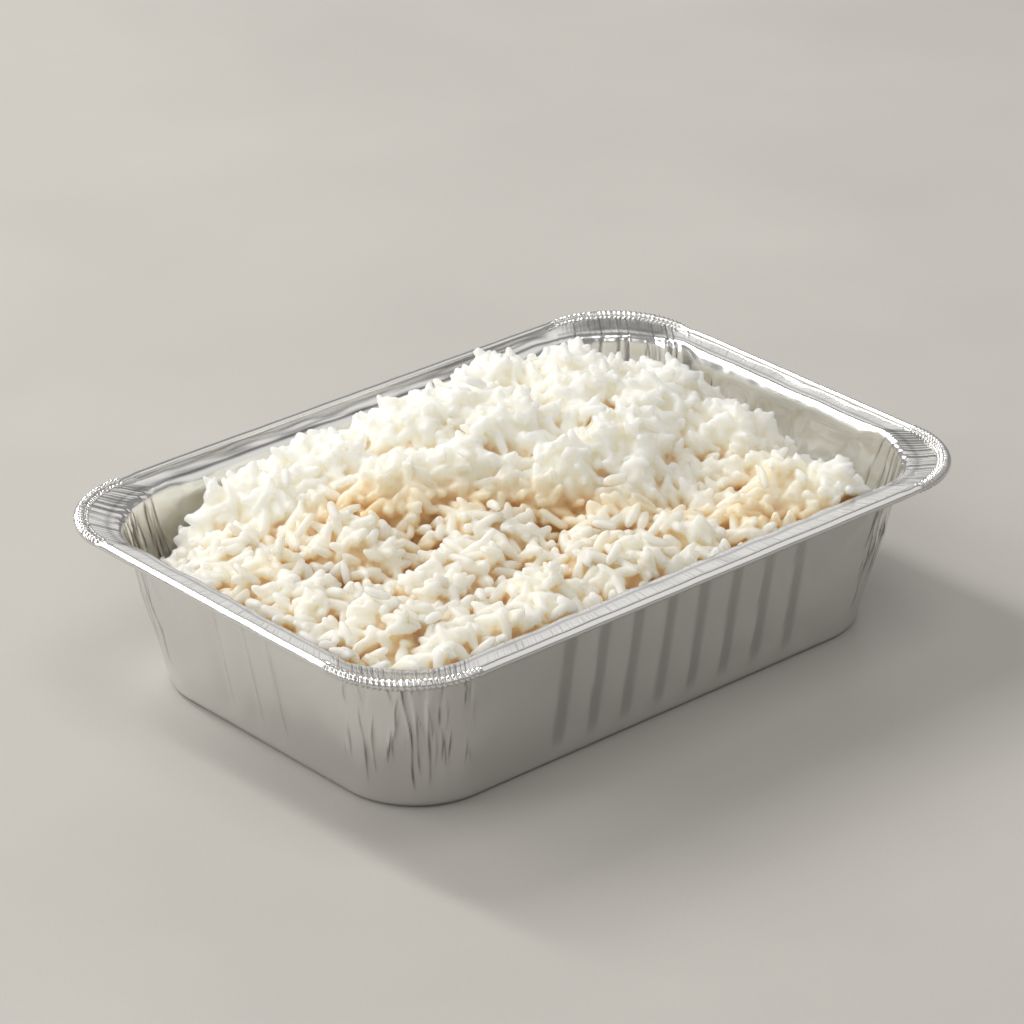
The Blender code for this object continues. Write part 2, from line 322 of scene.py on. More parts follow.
# The whole sheet is a little uneven, most of all along the flange.
UNEVENNESS = 0.022
WAVES = 14
unevenness = np.zeros_like(shell_x)
for _ in range(WAVES):
    run = dice.uniform(9.0, 34.0)
    heading = dice.uniform(0, 2 * math.pi)
    phase = (shell_x * math.cos(heading) + shell_y * math.sin(heading)) / run + level / 21.0
    unevenness += UNEVENNESS * np.sin(2 * math.pi * phase + dice.uniform(0, 6))
food_side = crease + inward + unevenness * (0.7 + 1.6 * over) * ease(1.0, 6.0, level)
GIVE = {"base": 0.0, "fillet": 0.4, "hidden": 0.0}    # rows that give less, or not at all
food_side *= np.array([GIVE.get(kind, 1.0) for kind in kinds])[:, None]
tilt = over * math.pi / 2
shell_x -= food_side * np.cos(tilt) * np.cos(facing)
shell_y -= food_side * np.cos(tilt) * np.sin(facing)
fall = np.zeros_like(heights)
fall[flange_rows, 0] = 1 - flange_share[flange_rows]
fall[shoulder_rows] = over[shoulder_rows]
shell_z += food_side * np.sin(tilt) - CORNER_FALL * mid_corner * ease(0, 1, fall)

# The sheet's colour is darkened with painted shade at the flange's inner edge. On one slope of each rib
# of the near walls it is darkened with a painted reflection of the dark floor beside the tray, and
# painted dark streaks along the far flange stand in for darker reflections there.
shell_data = rows_to_mesh("tray_shell", shell_x, shell_y, shell_z)
INNER_EDGE_SHADE, RIB_SLOPE_SHADE, FAR_FLANGE_STREAK_SHADE = 0.4, 0.24, 0.6
inner_edge = (np.arange(len(kinds)) == flange_rows[0])[:, None] * (wall_of != 2)
folded = np.maximum(folded, INNER_EDGE_SHADE * inner_edge)
slope = np.gradient(rib, axis=1)
slope /= np.abs(slope).max()
shaded_slope = np.clip(slope, 0, 1) * (wall_of == 0) + 0.35 * np.clip(-slope, 0, 1) * (wall_of == 3)
shaded_slope = shaded_slope * foot_fade * (1 - over)
folded = np.maximum(folded, RIB_SLOPE_SHADE * ease(0.05, 0.3, shaded_slope))
far_flange_streaks = noise_at(around / 16.0, 4.0 * flange_share[:, None], 8.8)
far_flange_streaks = ease(-0.2, 0.35, far_flange_streaks) * flat * (wall_of == 2) * end_fade
folded = np.maximum(folded, FAR_FLANGE_STREAK_SHADE * far_flange_streaks)
around_rows = np.repeat(around[None, :], len(kinds), axis=0)
for name, values in (("folded", folded), ("around", around_rows), ("flange", flat * (wall_of != 2))):
    shell_data.attributes.new(name, "FLOAT", "POINT").data.foreach_set("value", values.ravel())
close_ends(shell_data, [range(len(facing))])
shell_data.shade_smooth()
tray_shell = placed("tray_shell", shell_data)


def to_linear(hex_colour):
    """sRGB hex to linear RGBA."""
    parts = [int(hex_colour[place:place + 2], 16) / 255 for place in (1, 3, 5)]
    linear = [part / 12.92 if part <= 0.04045 else ((part + 0.055) / 1.055) ** 2.4 for part in parts]
    return (*linear, 1.0)


def add_node(tree, kind, settings=None, links=None):
    """Adds a node, sets its properties (by name) and inputs (by index or name), and links inputs
    to other sockets."""
    node = tree.nodes.new(kind)
    for key, value in (settings or {}).items():
        if isinstance(key, str) and hasattr(node, key):
            setattr(node, key, value)
        else:
            node.inputs[key].default_value = value
    for key, socket in (links or {}).items():
        tree.links.new(socket, node.inputs[key])
    return node


def new_material(name):
    """A new material, its node tree, and the place on the piece to work its look out from."""
    material = bpy.data.materials.new(name)
    material.use_nodes = True
    tree = material.node_tree
    tree.nodes.clear()
    return material, tree, add_node(tree, "ShaderNodeTexCoord").outputs["Object"]


# Rolled aluminium foil, bright side: a clean grey mirror, blurred by fine lines from the rolls. Its
# colour is mixed toward a painted shade colour where a fold traps the light, at the flange's inner
# edge, on the rib slopes and along the far flange. The same colour is used in thin streaks across the
# near flange where it was drawn in.
FOIL_COLOUR = "#e0dfdd"
PAINTED_SHADE_COLOUR = "#4a4642"
rolled_foil, tree, place = new_material("rolled_aluminium_foil")
rolling = add_node(tree, "ShaderNodeMapping", {"Scale": (14.0, 420.0, 420.0)}, {"Vector": place})
lines = add_node(tree, "ShaderNodeTexNoise", {"Scale": 1.0, "Detail": 2.0},
                 {"Vector": rolling.outputs[0]})
sheen = add_node(tree, "ShaderNodeMapRange",
                 {"From Min": 0.3, "From Max": 0.7, "To Min": 0.19, "To Max": 0.26},
                 {"Value": lines.outputs["Fac"]})
around = add_node(tree, "ShaderNodeAttribute", {"attribute_name": "around"})
flange = add_node(tree, "ShaderNodeAttribute", {"attribute_name": "flange"})
# The painted shade of folds, the flange's inner edge, rib slopes and far flange streaks.
fold = add_node(tree, "ShaderNodeAttribute", {"attribute_name": "folded"})
streaks = add_node(tree, "ShaderNodeTexNoise", {"noise_dimensions": "1D", "Scale": 0.9, "Detail": 2.0},
                   {"W": around.outputs["Fac"]})
# Thin streaks across the near flange: fine lines left where it was drawn in, shown as painted shade.
drawn = add_node(tree, "ShaderNodeMapRange",
                 {"From Min": 0.5, "From Max": 0.75, "To Min": 0.0, "To Max": 0.25},
                 {"Value": streaks.outputs["Fac"]})
drawn = add_node(tree, "ShaderNodeMath", {"operation": "MULTIPLY"},
                 {0: drawn.outputs[0], 1: flange.outputs["Fac"]})
dark = add_node(tree, "ShaderNodeMath", {"operation": "MAXIMUM"},
                {0: drawn.outputs[0], 1: fold.outputs["Fac"]})
colour = add_node(tree, "ShaderNodeMix", {"data_type": "RGBA"}, {"Factor": dark.outputs[0]})
colour.inputs[6].default_value = to_linear(FOIL_COLOUR)
colour.inputs[7].default_value = to_linear(PAINTED_SHADE_COLOUR)
relief = add_node(tree, "ShaderNodeBump", {"Strength": 0.04, "Distance": 0.0003},
                  {"Height": lines.outputs["Fac"]})
foil = add_node(tree, "ShaderNodeBsdfPrincipled", {"Metallic": 1.0},
                {"Base Color": colour.outputs[2], "Roughness": sheen.outputs[0],
                 "Normal": relief.outputs[0]})
add_node(tree, "ShaderNodeOutputMaterial", None, {"Surface": foil.outputs[0]})

foil_gauge = tray_shell.modifiers.new("foil", "SOLIDIFY")
foil_gauge.thickness = SHEET * MM
foil_gauge.offset = 0.0
tray_shell.data.materials.append(rolled_foil)
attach(tray_shell, "root")
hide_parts("foil_tray")

# ---- The rolled bead ---------------------------------------------------------------------------
# The foil's edge, rolled over into a bead all round. It is smooth along the walls, and crimped like
# a cord in the corners, where a second row of crimps lies against its foot on the flange.
BEAD_SIDES = 20
BEAD_SWELL = 0.35
BEAD_FLAT = 0.83                    # the rolled edge is pressed flat on its outer shoulder
CRIMP_DEPTH = 0.55
CRIMP_RUN_OUT = 5.0                 # how far the crimps run on past a corner, in mm
ROOT_RADIUS = 0.9
ROOT_SIDES = 10


def tube(name, x, y, z, facing, radius, sides):
    """A ring of tube round the rim. Its radius is a function of the angle round the tube."""
    angles = np.linspace(0, 2 * math.pi, sides, endpoint=False)[:, None]
    reach = radius(angles)
    tube_x = x + reach * np.cos(angles) * np.cos(facing)
    tube_y = y + reach * np.cos(angles) * np.sin(facing)
    tube_z = z + reach * np.sin(angles)
    return rows_to_mesh(name, tube_x, tube_y, tube_z, closed_rows=True)


bead_stations = once_round((110, 70), 230)
bead_facing = bead_stations[2]
bead_corner, _, bead_mid = in_corners(bead_stations)
bead_x, bead_y = plan_point(plan_inset(RIM_PLAN, BEAD_RADIUS), bead_stations)
run = distance_round(bead_x, bead_y)
corner_ends = run[np.nonzero(np.diff(bead_corner.astype(int), append=bead_corner[0]))[0]]
to_corner = np.min(np.abs(run[:, None] - corner_ends[None, :]), axis=1)
crimped = np.where(bead_corner, 1.0, ease(CRIMP_RUN_OUT, CRIMP_RUN_OUT - 2.5, to_corner))
uneven = noise_at(run / 9.0, 7.7, 0.0)


def bead_reach(angles):
    """Radius of the bead: fuller in the corners, and less in the crimps."""
    radius = BEAD_RADIUS + BEAD_SWELL * bead_mid + 0.04 * uneven
    radius = radius - CRIMP_DEPTH * crimp_wave(run, 1.1 * angles) * crimped
    return np.minimum(radius, BEAD_FLAT * radius / np.maximum(np.cos(angles - math.pi / 4), 0.3))


bead_z = RIM_HEIGHT + 0.1 * uneven
bead_data = tube("rolled_bead", bead_x, bead_y, bead_z, bead_facing, bead_reach, BEAD_SIDES)

root_x, root_y = plan_point(plan_inset(RIM_PLAN, 2 * BEAD_RADIUS + 0.25), bead_stations)
root_z = RIM_HEIGHT - 0.05 - 0.5 * (1 - crimped)


def root_reach(angles):
    """Radius of the second row of crimps, which shrinks to nothing along the walls."""
    return np.maximum((ROOT_RADIUS - 0.6 * crimp_wave(run, -1.4 * angles)) * crimped, 0.02)


root_data = tube("crimped_root", root_x, root_y, root_z, bead_facing, root_reach, ROOT_SIDES)
for data in (bead_data, root_data):
    data.shade_smooth()
    data.materials.append(rolled_foil)
    piece = placed(data.name, data)
    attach(piece, "root")
    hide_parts("foil_tray")

# ---- The heap of rice --------------------------------------------------------------------------
# Boiled long-grain rice spooned into the tray: a broad mound with lumps and hollows, low at the far
# end. Grains are dropped one by one and come to rest on those below, and they stick together.
FILL_LEVEL = 47.3
MOUND = {"x": 24, "y": 14, "long": 58, "wide": 40, "rise": 14.5}
MOUND_SHARPNESS = 1.5
LUMPS = [  # x, y, radius, height
    (-30, 48, 18, 5.0), (-60, 54, 13, 2.5), (-6, 40, 16, 3.5), (14, 40, 14, 3.5), (34, 36, 12, 2.0),
    (49, 33, 10, 4.5), (58, 24, 7, -3.0), (63, 10, 13, 4.5), (67, -22, 13, 4.0), (66, -52, 12, 3.5),
    (-50, 20, 16, 2.5), (-6, -20, 14, -3.5), (34, -32, 11, -3.5), (-40, -4, 12, -3.0), (4, 2, 12, -1.5)]
FAR_END = {"start": 66, "run": 31, "fall": 17.0}
FAR_SIDE = {"start": 50, "run": 14, "fall": 4.5}
EMPTY_CORNER = {"x": -97, "y": 64, "radius": 48, "fall": 21.0}
CLUMP_SIZE = 10.0
CLUMP_HEIGHT = 2.2
LOOSE_DEPTH = 4.6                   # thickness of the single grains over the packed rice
GRID_X, GRID_Y = 108.0, 76.0        # how far the grid of heights reaches, in mm
CELL = 0.5


def bump(x, y, middle_x, middle_y, radius):
    """A round bump, 1 in its middle."""
    return np.exp(-((x - middle_x) ** 2 + (y - middle_y) ** 2) / radius ** 2)


def heap_shape(x, y):
    """Top of the heap before its small clumps."""
    spread = ((x - MOUND["x"]) / MOUND["long"]) ** 2 + ((y - MOUND["y"]) / MOUND["wide"]) ** 2
    height = FILL_LEVEL + MOUND["rise"] * np.exp(-spread ** MOUND_SHARPNESS)
    for lump_x, lump_y, radius, rise in LUMPS:
        height += rise * bump(x, y, lump_x, lump_y, radius)
    height -= FAR_END["fall"] * ease(0, 1, (x - FAR_END["start"]) / FAR_END["run"])
    height -= FAR_SIDE["fall"] * ease(0, 1, (y - FAR_SIDE["start"]) / FAR_SIDE["run"])
    away = np.hypot(x - EMPTY_CORNER["x"], y - EMPTY_CORNER["y"]) / EMPTY_CORNER["radius"]
    return height - EMPTY_CORNER["fall"] * ease(0, 1, 1 - away)


def oblong_distance(x, y, plan):
    """Distance outside (or, below zero, inside) a rounded oblong."""
    half_x, half_y, corner = plan
    over_x, over_y = np.abs(x) - (half_x - corner), np.abs(y) - (half_y - corner)
    outside = np.hypot(np.maximum(over_x, 0), np.maximum(over_y, 0))
    return outside + np.minimum(np.maximum(over_x, over_y), 0) - corner


def look_up(grid, x, y):
    """Value of a height grid at places."""
    column = np.clip(np.rint((x + GRID_X) / CELL).astype(int), 0, grid.shape[0] - 1)
    row = np.clip(np.rint((y + GRID_Y) / CELL).astype(int), 0, grid.shape[1] - 1)
    return grid[column, row]


def blur(grid, cells):
    """Running mean both ways, three times over: close to a Gaussian."""
    for _ in range(3):
        for axis in (0, 1):
            padding = [(cells + 1, cells) if side == axis else (0, 0) for side in (0, 1)]
            total = np.cumsum(np.pad(grid, padding, mode="edge"), axis=axis)
            width = 2 * cells + 1
            grid = (np.take(total, range(width, total.shape[axis]), axis=axis)
                    - np.take(total, range(total.shape[axis] - width), axis=axis)) / width
    return grid


def grid_noise(size, layer):
    """Smooth noise over the grid, with lumps of a given size; each layer is different."""
    return noise_at(grid_x / size, grid_y / size, layer)


grid_x, grid_y = np.meshgrid(np.arange(-GRID_X, GRID_X + 0.1, CELL),
                             np.arange(-GRID_Y, GRID_Y + 0.1, CELL), indexing="ij")
heap_top = heap_shape(grid_x, grid_y)
spots = zip(grid_x.ravel(), grid_y.ravel(), heap_top.ravel())
clumps = [noise.noise(Vector(spot) / CLUMP_SIZE) for spot in spots]
heap_top += CLUMP_HEIGHT * np.array(clumps).reshape(grid_x.shape)

# Each spoonful has kept its round top, with creases between it and the next.
SPOONFULS = [  # x, y, radius, rise
    (40, 17, 14, 4.0), (53, -2, 12, 4.5), (33, -6, 11, 3.5), (62, -20, 10, 4.0), (-6, 31, 13, 4.0),
    (10, 15, 14, 3.0), (-31, 16, 12, 4.0), (-36, 44, 12, 3.5), (-55, 2, 14, 5.5), (-55, 43, 10, 3.0),
    (-66, 51, 9, 3.0), (59, -42, 9, 3.0), (65, -53, 7, 2.5), (-14, 10, 9, 2.5), (-74, -34, 11, 3.5),
    (-80, 6, 10, 3.0), (-78, -14, 9, 2.5), (8, -9, 9, 2.5), (-38, -22, 10, 3.0), (-7, -45, 12, 3.5),
    (-34, -49, 11, 3.0), (20, -45, 10, 2.5), (12, -30, 9, 2.5), (-53, -27, 9, 3.0), (-52, -53, 9, 2.5),
    (38, -48, 9, 2.0), (30, 42, 12, 3.0), (-80, 28, 10, 2.5), (76, 10, 9, 2.0), (-66, -50, 8, 2.0)]
wobble_x = grid_x + 2.0 * grid_noise(9.0, 21.0)
wobble_y = grid_y + 2.0 * grid_noise(9.0, 31.0)
domes = np.zeros(grid_x.shape)
for dome_x, dome_y, radius, rise in SPOONFULS:
    inside = 1 - ((wobble_x - dome_x) ** 2 + (wobble_y - dome_y) ** 2) / radius ** 2
    domes = np.maximum(domes, rise * np.sqrt(np.maximum(inside, 0.0)))
heap_top += 1.35 * domes - 2.1

# The mound is heaped loose and fluffy; the rice before it lies flatter, past a shallow trench.
toward_back = 0.665 * grid_x + 0.746 * grid_y         # distance toward the far corner
foot_of_mound = -12.0 - 12.0 * ease(-20, -60, grid_x)
fluffy = ease(-7, 7, toward_back - foot_of_mound)
trench = np.exp(-((toward_back - foot_of_mound) / 6.5) ** 2)
trench = trench * ease(-75, -55, grid_x) * ease(75, 45, grid_x)
heap_top -= 2.2 * trench
heap_top += (1.7 - 0.7 * fluffy) * grid_noise(6.0, 4.0)
far_wall = ease(13, 2, 63.7 - grid_y) * ease(0, -45, grid_x)
heap_top -= 8.0 * far_wall

GRAIN_KINDS = [  # length, thickness, bend in mm
    (8.9, 2.95, 0.4), (8.1, 3.05, -0.35), (9.5, 2.8, 0.6), (7.5, 3.2, 0.2), (6.5, 3.0, -0.45)]
GRAIN_BLUNTNESS = 3.2
STICKINESS = 0.7                    # how far a grain sinks into the soft ones under it
SPILL = 1.9                         # how far the rice lies over the flange on the two near sides
WALL_GAP = 1.3                      # between the outside of the wall and the lowest grains
LEDGE = 48.2                        # level at which rice rests on the flange

wall_low = oblong_distance(grid_x, grid_y, plan_inset(BASE_PLAN, WALL_GAP))
wall_high = oblong_distance(grid_x, grid_y, plan_inset(WALL_TOP_PLAN, WALL_GAP))
wall_level = np.where(wall_low > 0, WALL_TOP * wall_low / np.maximum(wall_low - wall_high, 0.1), 0.0)
past_shoulder = oblong_distance(grid_x, grid_y, SHOULDER_PLAN)
bead_away = np.abs(oblong_distance(grid_x, grid_y, plan_inset(RIM_PLAN, BEAD_RADIUS)))
rim_level = LEDGE + np.sqrt(np.maximum(1.5 ** 2 - bead_away ** 2, 0.0))
rough = 1.2 * grid_noise(3.2, 7.0)
settled = np.maximum(heap_top - LOOSE_DEPTH + rough, np.minimum(wall_level, LEDGE))
settled = np.where(past_shoulder > 0, rim_level, settled)
near_side = np.maximum(ease(0, 8, -grid_x - 86), ease(0, 8, -grid_y - 52))
wanted = heap_top - 0.6 + 0.6 * near_side
near_only = ((grid_x < -90) & (grid_y < 18)) | ((grid_y < -50) & (grid_x < 84))
edge_wander = grid_noise(8.0, 9.0)
spill_by = np.where(grid_y < -50, SPILL, 0.4 * SPILL) * (0.4 + 1.2 * edge_wander)
wanted = np.where(past_shoulder > np.where(near_only, -1.5, -2.5), 0.0, wanted)
allowed = wanted > settled
edge_limit = np.where(near_only, spill_by + 0.8, -1.5)

dice = np.random.default_rng(23)
SPOTS = np.linspace(-0.92, 0.92, 9)                   # where a grain is felt along its length
grain_rows = []                                       # kind, x, y, z, yaw, pitch, size


def grain_measures(kind, size):
    """Length and thickness of a grain."""
    return GRAIN_KINDS[kind][0] * size, GRAIN_KINDS[kind][1] * size


def grain_half(t, thickness):
    """Half thickness of a grain along its length, t from -1 to 1."""
    return thickness / 2 * np.sqrt(np.maximum(1 - np.abs(t) ** GRAIN_BLUNTNESS, 0.0))


def rest_height(x, y, yaw, pitch, length, thickness):
    """Height at which a grain's middle comes to rest on what has settled."""
    reach = SPOTS * length / 2
    highest = -1e9
    for side in (-0.32, 0.0, 0.32):
        spot_x = x + reach * math.cos(pitch) * math.cos(yaw) - side * thickness * math.sin(yaw)
        spot_y = y + reach * math.cos(pitch) * math.sin(yaw) + side * thickness * math.cos(yaw)
        drop = grain_half(SPOTS, thickness) * math.sqrt(1 - (2 * side) ** 2 * 0.9)
        drop = drop / max(math.cos(pitch), 0.5)
        needed = look_up(settled, spot_x, spot_y) - reach * math.sin(pitch) + drop
        highest = max(highest, needed.max())
    return highest


def lay(kind, x, y, z, yaw, pitch, size):
    """Keeps a grain that has come to rest, and raises the settled height under it."""
    grain_rows.append((kind, x, y, z, yaw, pitch, size))
    length, thickness = grain_measures(kind, size)
    margin = length / 2 * math.cos(pitch) + thickness / 2
    columns = slice(max(int((x - margin + GRID_X) / CELL), 0), int((x + margin + GRID_X) / CELL) + 2)
    rows = slice(max(int((y - margin + GRID_Y) / CELL), 0), int((y + margin + GRID_Y) / CELL) + 2)
    away_x, away_y = grid_x[columns, rows] - x, grid_y[columns, rows] - y
    along = away_x * math.cos(yaw) + away_y * math.sin(yaw)
    across = -away_x * math.sin(yaw) + away_y * math.cos(yaw)
    t = along / (length / 2 * math.cos(pitch))
    half = grain_half(np.clip(t, -1, 1), thickness)
    rise = np.sqrt(np.maximum(half ** 2 - across ** 2, 0.0)) / max(math.cos(pitch), 0.5)
    top = z + along * math.tan(pitch) + rise
    covered = (np.abs(t) < 1) & (np.abs(across) < half)
    patch = settled[columns, rows]
    patch[covered] = np.maximum(patch[covered], top[covered])


def out_of_place(x, y, z, yaw, pitch, length):
    """Whether an end of a grain would lie too far out over the flange, or stick through the wall."""
    reach = np.array([-0.5, 0.5]) * length * math.cos(pitch)
    end_x, end_y = x + reach * math.cos(yaw), y + reach * math.sin(yaw)
    if (look_up(past_shoulder, end_x, end_y) > look_up(edge_limit, end_x, end_y)).any():
        return True
    reach = np.array([-0.42, 0.42]) * length
    end_x = x + reach * math.cos(pitch) * math.cos(yaw)
    end_y = y + reach * math.cos(pitch) * math.sin(yaw)
    end_z = z + reach * math.sin(pitch)
    inside = oblong_distance(end_x, end_y, wall_plan(np.clip(end_z, 0.0, WALL_TOP)))
    return ((inside > -2.4) & (end_z < 46.5)).any()


# Grains are dropped where the heap is still low, until it is full or almost none finds room.
BATCHES, BATCH = 450, 80
ROOM = 0.9                          # how low the heap must be for a grain to be dropped
OVERTOP = 1.6                       # how far a grain may stand over the heap's wanted top
TILT, STEEPEST = 0.28, 1.1          # in radians
KIND_SHARES = (0.28, 0.24, 0.18, 0.2, 0.1)
laid = [0]
for batch in range(BATCHES):
    columns, rows = np.nonzero(allowed & (wanted - settled > ROOM))
    if len(columns) < 500 or (batch > 60 and laid[-1] - laid[-20] < 12):
        break
    for pick in dice.integers(0, len(columns), BATCH):
        kind = dice.choice(5, p=KIND_SHARES)
        size = dice.uniform(0.9, 1.08)
        length, thickness = grain_measures(kind, size)
        x = grid_x[columns[pick], rows[pick]] + dice.uniform(-0.3, 0.3)
        y = grid_y[columns[pick], rows[pick]] + dice.uniform(-0.3, 0.3)
        yaw = dice.uniform(0, 2 * math.pi)
        ahead = 0.33 * length
        rise = (look_up(settled, x + ahead * math.cos(yaw), y + ahead * math.sin(yaw))
                - look_up(settled, x - ahead * math.cos(yaw), y - ahead * math.sin(yaw)))
        pitch = 0.8 * math.atan2(float(rise), 2 * ahead) + dice.normal(0, TILT)
        pitch = min(max(pitch, -STEEPEST), STEEPEST)
        z = rest_height(x, y, yaw, pitch, length, thickness)
        z -= STICKINESS * dice.uniform(0.6, 1.4) + 1.2 * abs(math.sin(pitch))
        too_high = z + thickness / 2 > look_up(wanted, x, y) + OVERTOP
        if not too_high and not out_of_place(x, y, z, yaw, pitch, length):
            lay(kind, x, y, z, yaw, pitch, size)
    laid.append(len(grain_rows))

# Grains that stand half out of the sticky rice, most of all over the mound.
TUFTS = 1900
TUFT_SHARES = (0.24, 0.26, 0.14, 0.24, 0.12)
rice_cells = (allowed & (past_shoulder < -2.5)).astype(float)
share_near = np.maximum(blur(rice_cells, 3), 0.02)
fine_top = blur(settled * rice_cells, 3) / share_near
tufted = 0.4 + 0.9 * ease(-0.15, 0.45, grid_noise(6.5, 12.0))
clear_of_edge = past_shoulder < np.where(near_only, -3.0, -4.5)
chance = (rice_cells * clear_of_edge * tufted * (0.6 + 0.7 * fluffy)).ravel()
for cell in dice.choice(chance.size, TUFTS, p=chance / chance.sum()):
    kind = dice.choice(5, p=TUFT_SHARES)
    size = dice.uniform(0.82, 1.02)
    length, _ = grain_measures(kind, size)
    x, y = grid_x.ravel()[cell], grid_y.ravel()[cell]
    soft = fluffy.ravel()[cell]
    pitch = dice.uniform(0.1 + 0.1 * soft, 0.6 + 0.4 * soft) * dice.choice([-1, 1])
    yaw = dice.uniform(0, 2 * math.pi)
    z = 0.5 * fine_top.ravel()[cell] + 0.5 * settled.ravel()[cell] + dice.uniform(-1.2, 0.4)
    if not out_of_place(x, y, z, yaw, pitch, length):
        lay(kind, x, y, z, yaw, pitch, size)
grains = np.array(grain_rows)

# Where the rice is wet enough to stick, its top is one soft mass with only the tips standing out.
fine_top = blur(settled * rice_cells, 3) / share_near
share_wide = np.maximum(blur(rice_cells, 13), 0.02)
wide_top = blur(settled * rice_cells, 13) / share_wide
SINK = 1.95                         # how far the soft mass lies below the settled top
sink = SINK - 0.55 * fluffy - 0.5 * trench + 0.5 * grid_noise(7.0, 2.0)
core_top = np.where(rice_cells > 0, fine_top - sink, heap_top - LOOSE_DEPTH)
tip_level = grains[:, 3] + 1.3 + 3.6 * np.abs(np.sin(grains[:, 5]))
grains = grains[tip_level > look_up(core_top, grains[:, 1], grains[:, 2]) - 0.2]

# The last few grains fell apart from the rest and lie loose on top.
LOOSE_GRAINS = 18
LOOSE_APART = 11.0                  # mm between loose grains
LOOSE_TRIES = 6000
loose_rows = []
open_cells = np.nonzero((rice_cells > 0) & (past_shoulder < -7))
for pick in dice.integers(0, len(open_cells[0]), LOOSE_TRIES):
    x, y = grid_x[open_cells][pick], grid_y[open_cells][pick]
    if any(math.hypot(x - other[1], y - other[2]) < LOOSE_APART for other in loose_rows):
        continue
    if dice.random() < 0.85 * look_up(fluffy, x, y):
        continue
    kind = dice.choice(5)
    size = dice.uniform(0.84, 0.98)
    length, thickness = grain_measures(kind, size)
    yaw = dice.uniform(0, 2 * math.pi)
    ahead_x, ahead_y = 0.36 * length * math.cos(yaw), 0.36 * length * math.sin(yaw)
    ends = look_up(settled, x + np.array([ahead_x, -ahead_x]), y + np.array([ahead_y, -ahead_y]))
    pitch = math.atan2(ends[0] - ends[1], 0.72 * length)
    z = rest_height(x, y, yaw, pitch, length, thickness)
    if abs(pitch) > 0.6 or z > 0.5 * (ends[0] + ends[1]) + 0.75 * thickness:
        continue
    loose_rows.append((kind, x, y, z + 0.05, yaw, pitch, size))
    if len(loose_rows) == LOOSE_GRAINS:
        break
loose_rows = np.array(loose_rows)

# Painted shade: rice before the mound, in the trench at its foot and in two hollows is tinted a little
# golden; beside the far walls the painted shade is taken off, so the rice there is pale.
beside_wall = ease(-20, -9, past_shoulder) * ease(0.3, 0.0, near_side)
lee_shade = 0.15 * (1 - fluffy) + 0.3 * trench
lee_shade += 0.34 * bump(grid_x, grid_y, -46, 20, 9.0) + 0.26 * bump(grid_x, grid_y, 51, -42, 16.0)
lee_shade += 0.14 * ease(0.1, 0.5, grid_noise(12.0, 44.0)) * (1 - fluffy)


def rice_shade(x, y, z):
    """How far rice is down in a gap or a hollow, for the painted shade there: 0 on top, 1 deep down."""
    gap = look_up(fine_top, x, y) - z
    hollow = look_up(wide_top, x, y) - z
    deep = np.clip(0.62 * ease(0.3, 3.6, gap) + 0.55 * ease(0.6, 5.5, hollow), 0, 1)
    deep *= 1 - 0.85 * np.maximum(ease(3.6, 6.5, gap), look_up(beside_wall, x, y))
    return np.clip(deep + look_up(lee_shade, x, y), 0, 0.85)


# The packed rice below the grains: a flat foot, a ring up the wall, and rings closing in on top.
CORE_GAP = 1.9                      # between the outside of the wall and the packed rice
CORE_RINGS = 56
core_stations = once_round((90, 50), 24)
count = core_stations.shape[1]
edge_level = np.full(count, 44.0)
for _ in range(6):
    edge_x, edge_y = plan_point(plan_inset(wall_plan(edge_level), CORE_GAP), core_stations)
    edge_level = 0.5 * edge_level + 0.5 * np.clip(look_up(core_top, edge_x, edge_y), 20.0, 46.0)
core_points = []
for height, inset in ((0.9, BASE_FILLET + 1.0), (3.4, CORE_GAP)):
    foot_plan = plan_inset(wall_plan(height), inset)
    core_points.append((*plan_point(foot_plan, core_stations), np.full(count, height)))
core_edge = plan_inset(wall_plan(edge_level), CORE_GAP)
for ring in range(CORE_RINGS):
    half_x, half_y, corner = plan_inset(core_edge, 0.99 * core_edge[1] * ring / (CORE_RINGS - 1))
    x, y = plan_point((half_x, half_y, np.maximum(corner, 0.3)), core_stations)
    core_points.append((x, y, look_up(core_top, x, y) if ring else edge_level))
core_data = rows_to_mesh("rice_core", *np.array(core_points).transpose(1, 0, 2))
close_ends(core_data, [range(count), range((CORE_RINGS + 1) * count, (CORE_RINGS + 2) * count)])
rice_core = placed("rice_core", core_data)

# ---- The grains --------------------------------------------------------------------------------
# Each grain is 6 to 9 mm long and about 3 mm thick: boiled soft, blunt, a little bent and slightly
# see-through. Nearly all have stuck to their neighbours; a few lie loose on top.


def new_tree(name, sizes):
    """A Geometry Nodes tree with named inputs, which take an object where no size is given. Gives
    the tree and each input's identifier."""
    tree = bpy.data.node_groups.new(name, "GeometryNodeTree")
    for way in ("INPUT", "OUTPUT"):
        tree.interface.new_socket("Geometry", in_out=way, socket_type="NodeSocketGeometry")
    identifiers = {}
    for input_name, size in sizes.items():
        kind = "NodeSocketObject" if size is None else "NodeSocketFloat"
        socket = tree.interface.new_socket(input_name, in_out="INPUT", socket_type=kind)
        if size is not None:
            socket.default_value = size
        identifiers[input_name] = socket.identifier
    return tree, identifiers


# One grain: a ball pulled out along its length, blunt at both ends and bowed sideways.
grain_tree, _ = new_tree("boiled_grain", {"Length": 0.008, "Thickness": 0.0028, "Bend": 0.0003})
inputs = add_node(grain_tree, "NodeGroupInput")
ball = add_node(grain_tree, "GeometryNodeMeshUVSphere", {"Segments": 8, "Rings": 7, "Radius": 1.0})
spot = add_node(grain_tree, "GeometryNodeInputPosition")
parts = add_node(grain_tree, "ShaderNodeSeparateXYZ", None, {0: spot.outputs[0]})
shape = {"x": parts.outputs["X"], "y": parts.outputs["Y"], "z": parts.outputs["Z"],
         "length": inputs.outputs["Length"], "thickness": inputs.outputs["Thickness"],
         "bend": inputs.outputs["Bend"]}
